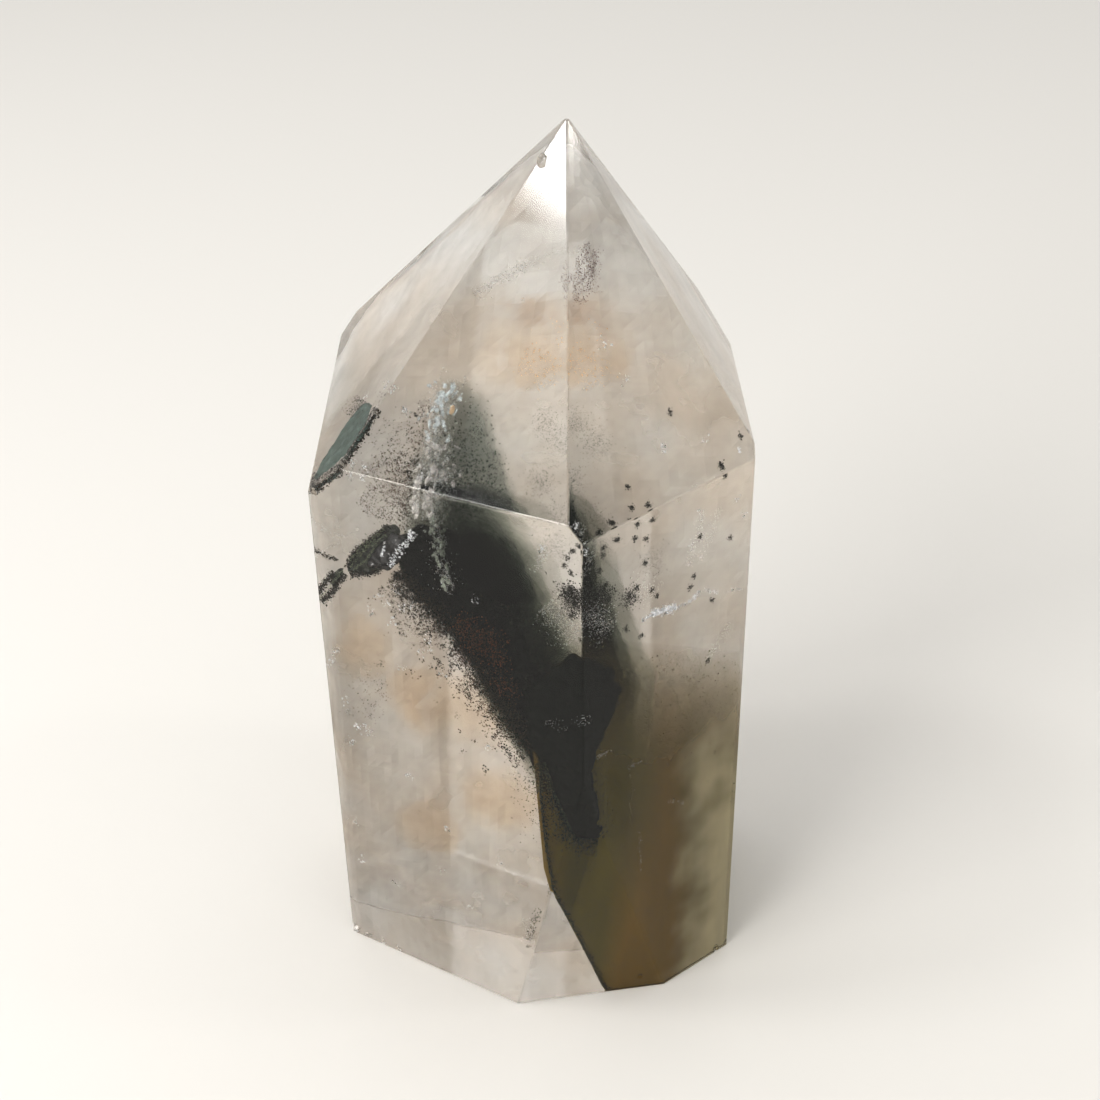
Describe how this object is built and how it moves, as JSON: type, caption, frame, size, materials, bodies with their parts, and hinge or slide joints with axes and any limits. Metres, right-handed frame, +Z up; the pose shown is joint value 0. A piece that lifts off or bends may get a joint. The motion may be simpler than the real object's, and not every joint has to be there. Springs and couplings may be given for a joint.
{
  "type": "phantom quartz crystal",
  "caption": "Polished clear quartz point with a six-sided prism, a faceted tip and a green-black chlorite phantom inside, standing on its flat sawn base.",
  "frame": {"origin": "on the flat base, straight below the tip", "axes": "+Z up the crystal to the tip, -Y towards the front edge of the prism, +X to the right of that edge as seen from the front"},
  "size_m": [0.0426, 0.0466, 0.09],
  "materials": {
    "clear_quartz": "polished, clear with a faint milky cast",
    "phantom": "dark green to olive chlorite dust in quartz"
  },
  "bodies": {
    "root": {"clear_quartz": "clear_quartz", "phantom": "phantom"}
  },
  "joints": []
}
